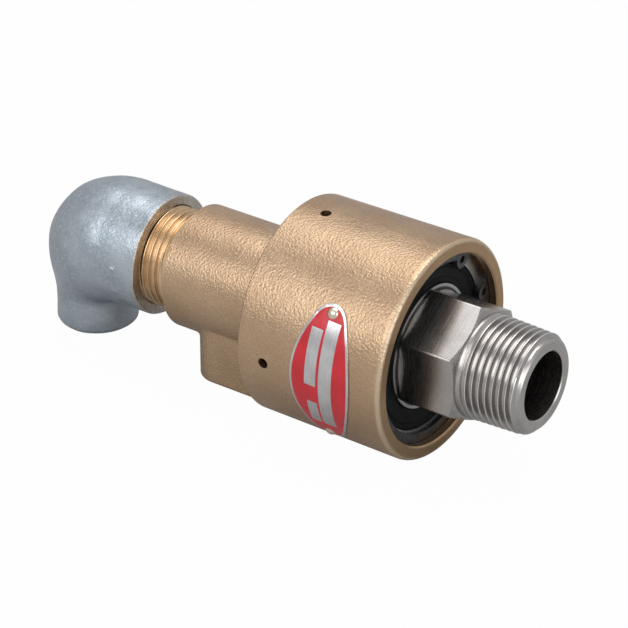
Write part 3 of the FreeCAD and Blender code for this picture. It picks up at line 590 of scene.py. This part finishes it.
ELBOW_INLET = 20.3 * MM
ELBOW_SOCKET = 16.65 * MM
ELBOW_OUTER = 13.5 * MM
ELBOW_THREAD = 9.3 * MM
ELBOW_WALL = 4.6 * MM
ELBOW_CROTCH = 2.0 * MM
PIVOT_X = ELBOW_AXIS + ELBOW_OUTER + ELBOW_CROTCH
PIVOT_Z = -ELBOW_INLET - ELBOW_CROTCH
INLET_EDGE = 0.8 * MM
OUTLET_EDGE = 2.0 * MM
BEND_SHARPNESS = 3.4
BEND_SWELL = 0.9 * MM
EDGE_ROWS, INLET_ROWS, BEND_ROWS, OUTLET_ROWS, PASSAGE_ROWS = 5, 48, 72, 14, 24
ELBOW_COLUMNS = 160
LUMPS = [(10.0 * MM, 0.24 * MM), (4.5 * MM, 0.09 * MM)]  # size and height
MARK_STEM, MARK_SERIF = -114.2 * MM, 1.6 * MM
MARK_FOOT, MARK_TOP = -7.4 * MM, 1.6 * MM
MARK_HEIGHT = 0.45 * MM


def elbow_stations():
    """Rows of the elbow from its inlet's rim to its outlet's rim and back through the passage.

    A row is (turn about the crotch, way from the crotch towards the rim, radius). The turn is 0 in
    the inlet and a quarter turn in the outlet. Also returns how many rows the skin has, and the
    function that gives the skin's radius in the bend.
    """
    quarter = math.pi / 2
    inlet_length, outlet_length = ELBOW_FACE - PIVOT_X, PIVOT_Z - ELBOW_OUTLET

    def reach(turn):
        swell = BEND_SWELL * math.sin(turn) * math.cos(turn) ** 2
        return ELBOW_INLET + (ELBOW_OUTER - ELBOW_INLET) * math.sin(turn) ** BEND_SHARPNESS + swell

    def rim(length, radius, edge):
        leans = [quarter * step / EDGE_ROWS for step in range(EDGE_ROWS, -1, -1)]
        return [(length - edge * (1 - math.sin(lean)), radius - edge * (1 - math.cos(lean)))
                for lean in leans]

    def bend(count, wall=0.0):
        turns = [quarter * step / count for step in range(count + 1)]
        return [(turn, 0.0, reach(turn) - wall) for turn in turns]

    rows = [(0.0, along, radius) for along, radius in rim(inlet_length, ELBOW_INLET, INLET_EDGE)]
    rows += [(0.0, (inlet_length - INLET_EDGE) * (1 - step / INLET_ROWS), ELBOW_INLET)
             for step in range(1, INLET_ROWS)]
    rows += bend(BEND_ROWS)
    rows += [(quarter, (outlet_length - OUTLET_EDGE) * step / OUTLET_ROWS, ELBOW_OUTER)
             for step in range(1, OUTLET_ROWS)]
    rows += [(quarter, along, radius)
             for along, radius in reversed(rim(outlet_length, ELBOW_OUTER, OUTLET_EDGE))]
    skin = len(rows)
    bevel = 0.3 * MM
    rows += [(quarter, outlet_length, ELBOW_THREAD + bevel),
             (quarter, outlet_length - bevel, ELBOW_THREAD), (quarter, 0.0, ELBOW_THREAD)]
    rows += reversed(bend(PASSAGE_ROWS, ELBOW_WALL))
    rows += [(0.0, 0.0, ELBOW_SOCKET), (0.0, inlet_length - bevel, ELBOW_SOCKET),
             (0.0, inlet_length, ELBOW_SOCKET + bevel)]
    face_width = ELBOW_INLET - INLET_EDGE - ELBOW_SOCKET
    rows += [(0.0, inlet_length, ELBOW_SOCKET + face_width * share) for share in (0.35, 0.7)]
    return rows, skin, reach


def make_elbow():
    """Malleable iron elbow: rounded, lumpy under its zinc, with a cast mark on its side."""
    rows, skin, reach = elbow_stations()
    builder = bmesh.new()
    grid = []
    for turn, along, radius in rows:
        middle = reach(turn) + ELBOW_CROTCH
        ring = []
        for column in range(ELBOW_COLUMNS):
            angle = TURN * column / ELBOW_COLUMNS
            out = middle + radius * math.cos(angle)
            ring.append(builder.verts.new((
                PIVOT_X - out * math.sin(turn) + along * math.cos(turn),
                radius * math.sin(angle), PIVOT_Z + out * math.cos(turn) - along * math.sin(turn))))
        grid.append(ring)
    for index, ring in enumerate(grid):
        following = grid[(index + 1) % len(grid)]
        for column in range(ELBOW_COLUMNS):
            after = (column + 1) % ELBOW_COLUMNS
            builder.faces.new((ring[column], ring[after], following[after], following[column]))
    bmesh.ops.recalc_face_normals(builder, faces=builder.faces)
    builder.normal_update()
    for ring in grid[2:skin - 2]:
        for vertex in ring:
            vertex.co += vertex.normal * elbow_lift(vertex.co)
    mesh = bpy.data.meshes.new("elbow_body")
    builder.to_mesh(mesh)
    builder.free()
    smooth(mesh, 40)
    piece = new_piece("elbow_body", mesh, "galvanised_iron", "casing", "elbow")


def elbow_lift(place):
    """Height of the cast lumps and of the bracket-shaped mark at a place on the skin."""
    lift = sum(height * noise.noise(place / size) for size, height in LUMPS)
    on_near_side = place.y < -12 * MM
    if on_near_side:
        level = min(max(place.z, MARK_FOOT), MARK_TOP)
        serif = min(max(place.x, MARK_STEM), MARK_STEM + MARK_SERIF)
        aside = min(math.hypot(place.x - MARK_STEM, place.z - level),
                    math.hypot(place.x - serif, place.z - MARK_FOOT),
                    math.hypot(place.x - serif, place.z - MARK_TOP))
        lift += MARK_HEIGHT * (1 - ease(aside, 0.15 * MM, 0.65 * MM))
    return lift


# Nameplate.

PLATE_DEPTH = 21.5 * MM
PLATE_HALF_HEIGHT = 23.6 * MM
PLATE_HALF_WIDTH = 10.9 * MM
PLATE_TIP_ROUND = 6.5 * MM
PLATE_TURN = math.radians(2.0)
PLATE_TILT = math.radians(2.3)
PLATE_THICKNESS = 0.5 * MM
PLATE_RIM = 0.8 * MM


def oval(inset):
    """Outline of two side arcs and two tip arcs, in the plate's own width and height."""
    height, width = PLATE_HALF_HEIGHT - inset, PLATE_HALF_WIDTH - inset
    tip = PLATE_TIP_ROUND - inset
    tip_height = height - tip
    side = (width ** 2 + tip_height ** 2 - tip ** 2) / (2 * (width - tip))
    lean = math.atan2(tip_height, side - width)
    side_steps, tip_steps = 40, 16
    outline = []
    for step in range(side_steps + 1):
        angle = -lean + 2 * lean * step / side_steps
        outline.append((side * math.cos(angle) - side + width, side * math.sin(angle)))
    for step in range(1, tip_steps):
        angle = lean + (math.pi - 2 * lean) * step / tip_steps
        outline.append((tip * math.cos(angle), tip_height + tip * math.sin(angle)))
    return outline + [(-across, -up) for across, up in outline]


def band(left, right, foot, top, bow=0.0):
    """Four-sided window with rounded sides; bow pushes both long sides outward in the middle."""
    steps = 16
    rising = [foot + (top - foot) * step / steps for step in range(steps + 1)]
    swell = [bow * (1 - (2 * step / steps - 1) ** 2) for step in range(steps + 1)]
    return ([(right + push, up) for up, push in zip(rising, swell)]
            + [(left + push, up) for up, push in reversed(list(zip(rising, swell)))])


def on_barrel(across, up, lift):
    """From the plate's own width and height to its place on the barrel."""
    along = -PLATE_DEPTH + across * math.cos(PLATE_TILT) + up * math.sin(PLATE_TILT)
    rise = up * math.cos(PLATE_TILT) - across * math.sin(PLATE_TILT)
    radius = BARREL_RADIUS + BARREL_SLOPE * along
    angle = math.asin(rise / radius) - PLATE_TURN
    radius += lift
    return Vector((along, -radius * math.cos(angle), radius * math.sin(angle)))


def filled_sheet(name, outlines, foot, top, rounding=0.0):
    """Flat sheet with the first outline as its edge and the others as holes, bent to the barrel."""
    curve = bpy.data.curves.new(name, "CURVE")
    curve.dimensions, curve.fill_mode = "2D", "BOTH"
    curve.extrude = (top - foot) / 2 - rounding
    curve.bevel_depth = rounding
    curve.bevel_resolution = 2
    curve.offset = -rounding
    for outline in outlines:
        spline = curve.splines.new("POLY")
        spline.points.add(len(outline) - 1)
        for point, (across, up) in zip(spline.points, outline):
            point.co = (across, up, 0, 1)
        spline.use_cyclic_u = True
    work = bpy.data.objects.new(name + "_work", curve)
    bpy.context.scene.collection.objects.link(work)
    depsgraph = bpy.context.evaluated_depsgraph_get()
    mesh = bpy.data.meshes.new_from_object(work.evaluated_get(depsgraph))
    bpy.data.objects.remove(work)
    builder = bmesh.new()
    builder.from_mesh(mesh)
    bmesh.ops.remove_doubles(builder, verts=builder.verts, dist=1e-6)
    for count, half_span, direction in ((48, PLATE_HALF_HEIGHT, Vector((0, 1, 0))),
                                        (8, PLATE_HALF_WIDTH, Vector((1, 0, 0)))):
        for step in range(1, count):
            everything = builder.verts[:] + builder.edges[:] + builder.faces[:]
            bmesh.ops.bisect_plane(builder, geom=everything, plane_no=direction,
                                   plane_co=direction * (half_span * (2 * step / count - 1)))
    for vertex in builder.verts:
        vertex.co = on_barrel(vertex.co.x, vertex.co.y, vertex.co.z + (foot + top) / 2)
    bmesh.ops.recalc_face_normals(builder, faces=builder.faces)
    builder.to_mesh(mesh)
    builder.free()
    mesh.name = name
    mesh.materials.clear()
    smooth(mesh, 40)
    return mesh


def make_nameplate():
    """Bright sheet with a raised red enamel field that leaves three windows and a rim bare."""
    sheet = filled_sheet("nameplate_sheet", [oval(0)], 0.02 * MM, PLATE_THICKNESS,
                         rounding=0.12 * MM)
    piece = new_piece("nameplate_sheet", sheet, "plate_aluminium", "casing", "nameplate")
    windows = [
        band(-0.5 * MM, 4.3 * MM, -16.8 * MM, 19.4 * MM, bow=0.25 * MM),
        band(-5.4 * MM, -1.2 * MM, -1.9 * MM, 16.4 * MM),
        band(-4.9 * MM, -1.1 * MM, -17.0 * MM, -8.2 * MM),
    ]
    field = filled_sheet("nameplate_field", [oval(PLATE_RIM)] + windows,
                         PLATE_THICKNESS - 0.05 * MM, PLATE_THICKNESS + 0.04 * MM,
                         rounding=0.015 * MM)
    piece = new_piece("nameplate_field", field, "nameplate_enamel", "casing")


# Front seal.

def make_front_seal():
    """Moulded rubber seal with a stiffened outer band, a shallow channel and a thin lip."""
    low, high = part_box("front_bearing_front_seal")
    face, back = high.x, low.x
    outer, inner = high.y, 20.25 * MM
    outline = [
        (back, outer), (face - 0.35 * MM, outer),
        (face, outer - 0.35 * MM), (face, outer - 1.2 * MM),
        (face - 0.30 * MM, outer - 1.5 * MM), (face - 0.30 * MM, outer - 1.9 * MM),
        (face - 0.05 * MM, outer - 2.2 * MM), (face - 0.05 * MM, inner + 2.3 * MM),
        (face - 0.35 * MM, inner + 1.9 * MM), (face - 0.55 * MM, inner + 0.9 * MM),
        (face - 0.45 * MM, inner + 0.5 * MM), (face - 0.15 * MM, inner + 0.3 * MM),
        (face - 0.25 * MM, inner), (back, inner),
    ]
    mesh = spun_mesh("front_seal", column_angles(180), outline)
    piece = new_piece("front_seal", mesh, "seal_rubber", "casing", "front_bearing_front_seal")


# Port threads.

def make_port_thread(name, slot, centre_x, mouth, wall, depth):
    """Threaded lining of a port that opens downward."""
    crest_radius, back_radius = wall + 0.25 * MM, wall + 0.5 * MM
    thread_depth = 1.1 * MM

    def crest(along):
        return crest_radius

    def groove(along):
        return thread_depth * ease(along, 0, 1.2 * MM) * (1 - ease(along, depth - 1.5 * MM, depth))

    stations = [(0.0, back_radius), Thread(0.0, depth, crest, groove), (depth, back_radius)]
    mesh = spun_mesh(name, column_angles(144), stations)
    for vertex in mesh.vertices:
        along, across, aside = vertex.co
        vertex.co = (centre_x + across, aside, mouth + along)
    mesh.update()
    piece = new_piece(name, mesh, slot, "casing")


# CAD nodes.

def dress_cad_nodes():
    """Each CAD node takes its slot's material; the casing's retaining ring gets a fine edge."""
    for entry in frame["record"]["subparts"]:
        node = nodes[entry["node"]]
        material = MATERIALS[entry["material_slot"]]
        if not node.material_slots:
            node.data.materials.append(material)
        for material_slot in node.material_slots:
            material_slot.material = material
    ring = nodes["casing_retaining_ring"]
    edge = ring.modifiers.new("edge", "BEVEL")
    edge.width, edge.segments, edge.limit_method = 0.15 * MM, 2, "ANGLE"
    edge.angle_limit = math.radians(50)


# Stage, lamps and camera.

def make_stage():
    """Grey floor that the camera sees white; reflections see it brighter in front of the union."""
    half, level = 3.0, cad_box[0].z - 0.4 * MM
    corners = [(x, y, level) for x, y in ((-half, -half), (half, -half), (half, half), (-half, half))]
    floor_mesh = bpy.data.meshes.new("floor")
    floor_mesh.from_pydata(corners, [], [(0, 1, 2, 3)])
    floor = bpy.data.objects.new("floor", floor_mesh)
    bpy.context.scene.collection.objects.link(floor)
    shader = Shader("floor_paper", (0.38, 0.38, 0.38), 0.0, 0.9)
    lit = shader.add("ShaderNodeEmission")
    lit.inputs["Color"].default_value = (1, 1, 1, 1)
    path = shader.add("ShaderNodeLightPath")
    card_dim, card_bright, camera_share = 0.02, 0.42, 0.98
    card = shader.ramp(shader.axes()[1], 0.0, -0.16, card_dim, card_bright)
    indirect = shader.maths("MAXIMUM", path.outputs["Is Glossy Ray"],
                            path.outputs["Is Transmission Ray"])
    direct = shader.maths("MULTIPLY", path.outputs["Is Camera Ray"], camera_share)
    seen = shader.maths("MAXIMUM", direct, shader.maths("MULTIPLY", indirect, card))
    blend = shader.add("ShaderNodeMixShader")
    shader.links.new(seen, blend.inputs[0])
    shader.links.new(shader.surface.outputs[0], blend.inputs[1])
    shader.links.new(lit.outputs[0], blend.inputs[2])
    shader.links.new(blend.outputs[0], shader.nodes["Material Output"].inputs["Surface"])
    floor_mesh.materials.append(shader.material)


def make_world():
    """Even grey surroundings, a little brighter overhead, that the camera sees white."""
    world = bpy.data.worlds.new("studio")
    bpy.context.scene.world = world
    world.use_nodes = True
    tree = world.node_tree
    back = tree.nodes["Background"]
    back.inputs["Strength"].default_value = 1.0
    coordinate = tree.nodes.new("ShaderNodeTexCoord")
    split = tree.nodes.new("ShaderNodeSeparateXYZ")
    tree.links.new(coordinate.outputs["Generated"], split.inputs[0])
    ramp = tree.nodes.new("ShaderNodeValToRGB")
    tree.links.new(split.outputs["Z"], ramp.inputs[0])
    for element, position, colour in zip(ramp.color_ramp.elements, (0.0, 0.9),
                                         ((0.58, 0.58, 0.59, 1), (0.66, 0.66, 0.68, 1))):
        element.position, element.color = position, colour
    path = tree.nodes.new("ShaderNodeLightPath")
    white = tree.nodes.new("ShaderNodeMix")
    white.data_type = "RGBA"
    tree.links.new(path.outputs["Is Camera Ray"], white.inputs["Factor"])
    tree.links.new(ramp.outputs["Color"], white.inputs["A"])
    white.inputs["B"].default_value = (1, 1, 1, 1)
    tree.links.new(white.outputs["Result"], back.inputs["Color"])


def aim_at(thing, place, aim):
    """Links a lamp or the camera at its place, with -Z towards its aim."""
    bpy.context.scene.collection.objects.link(thing)
    thing.location = place
    thing.rotation_euler = (Vector(aim) - Vector(place)).to_track_quat("-Z", "Y").to_euler()


def add_lamp(name, place, aim, size, power):
    light = bpy.data.lights.new(name, "AREA")
    light.shape, light.size, light.size_y = "RECTANGLE", size[0], size[1]
    light.energy = power
    aim_at(bpy.data.objects.new(name, light), place, aim)


def make_lamps():
    middle = (-0.05, 0, 0)
    add_lamp("key", (-0.15, -1.30, 0.95), middle, (1.7, 1.1), 11.5)
    add_lamp("fill", (1.30, -0.50, 0.45), middle, (0.8, 0.9), 4.0)
    add_lamp("top", (-0.10, 0.35, 1.40), middle, (1.6, 1.1), 11.0)


def make_camera():
    data = bpy.data.cameras.new("camera")
    data.lens = CAMERA_LENS
    camera = bpy.data.objects.new("camera", data)
    aim_at(camera, CAMERA_PLACE, CAMERA_AIM)
    bpy.context.scene.camera = camera


make_rotor()
make_nipple()
make_elbow()
make_nameplate()
make_front_seal()
make_port_thread("supply_thread", "cast_bronze", PORT_DEPTH, BOSS_FACE,
                 wall=12.1 * MM, depth=13.0 * MM)
make_port_thread("return_thread", "galvanised_iron", ELBOW_AXIS, ELBOW_OUTLET,
                 wall=ELBOW_THREAD, depth=10.7 * MM)
dress_cad_nodes()
make_stage()
make_world()
make_lamps()
make_camera()
bpy.context.scene.view_settings.view_transform = "Standard"
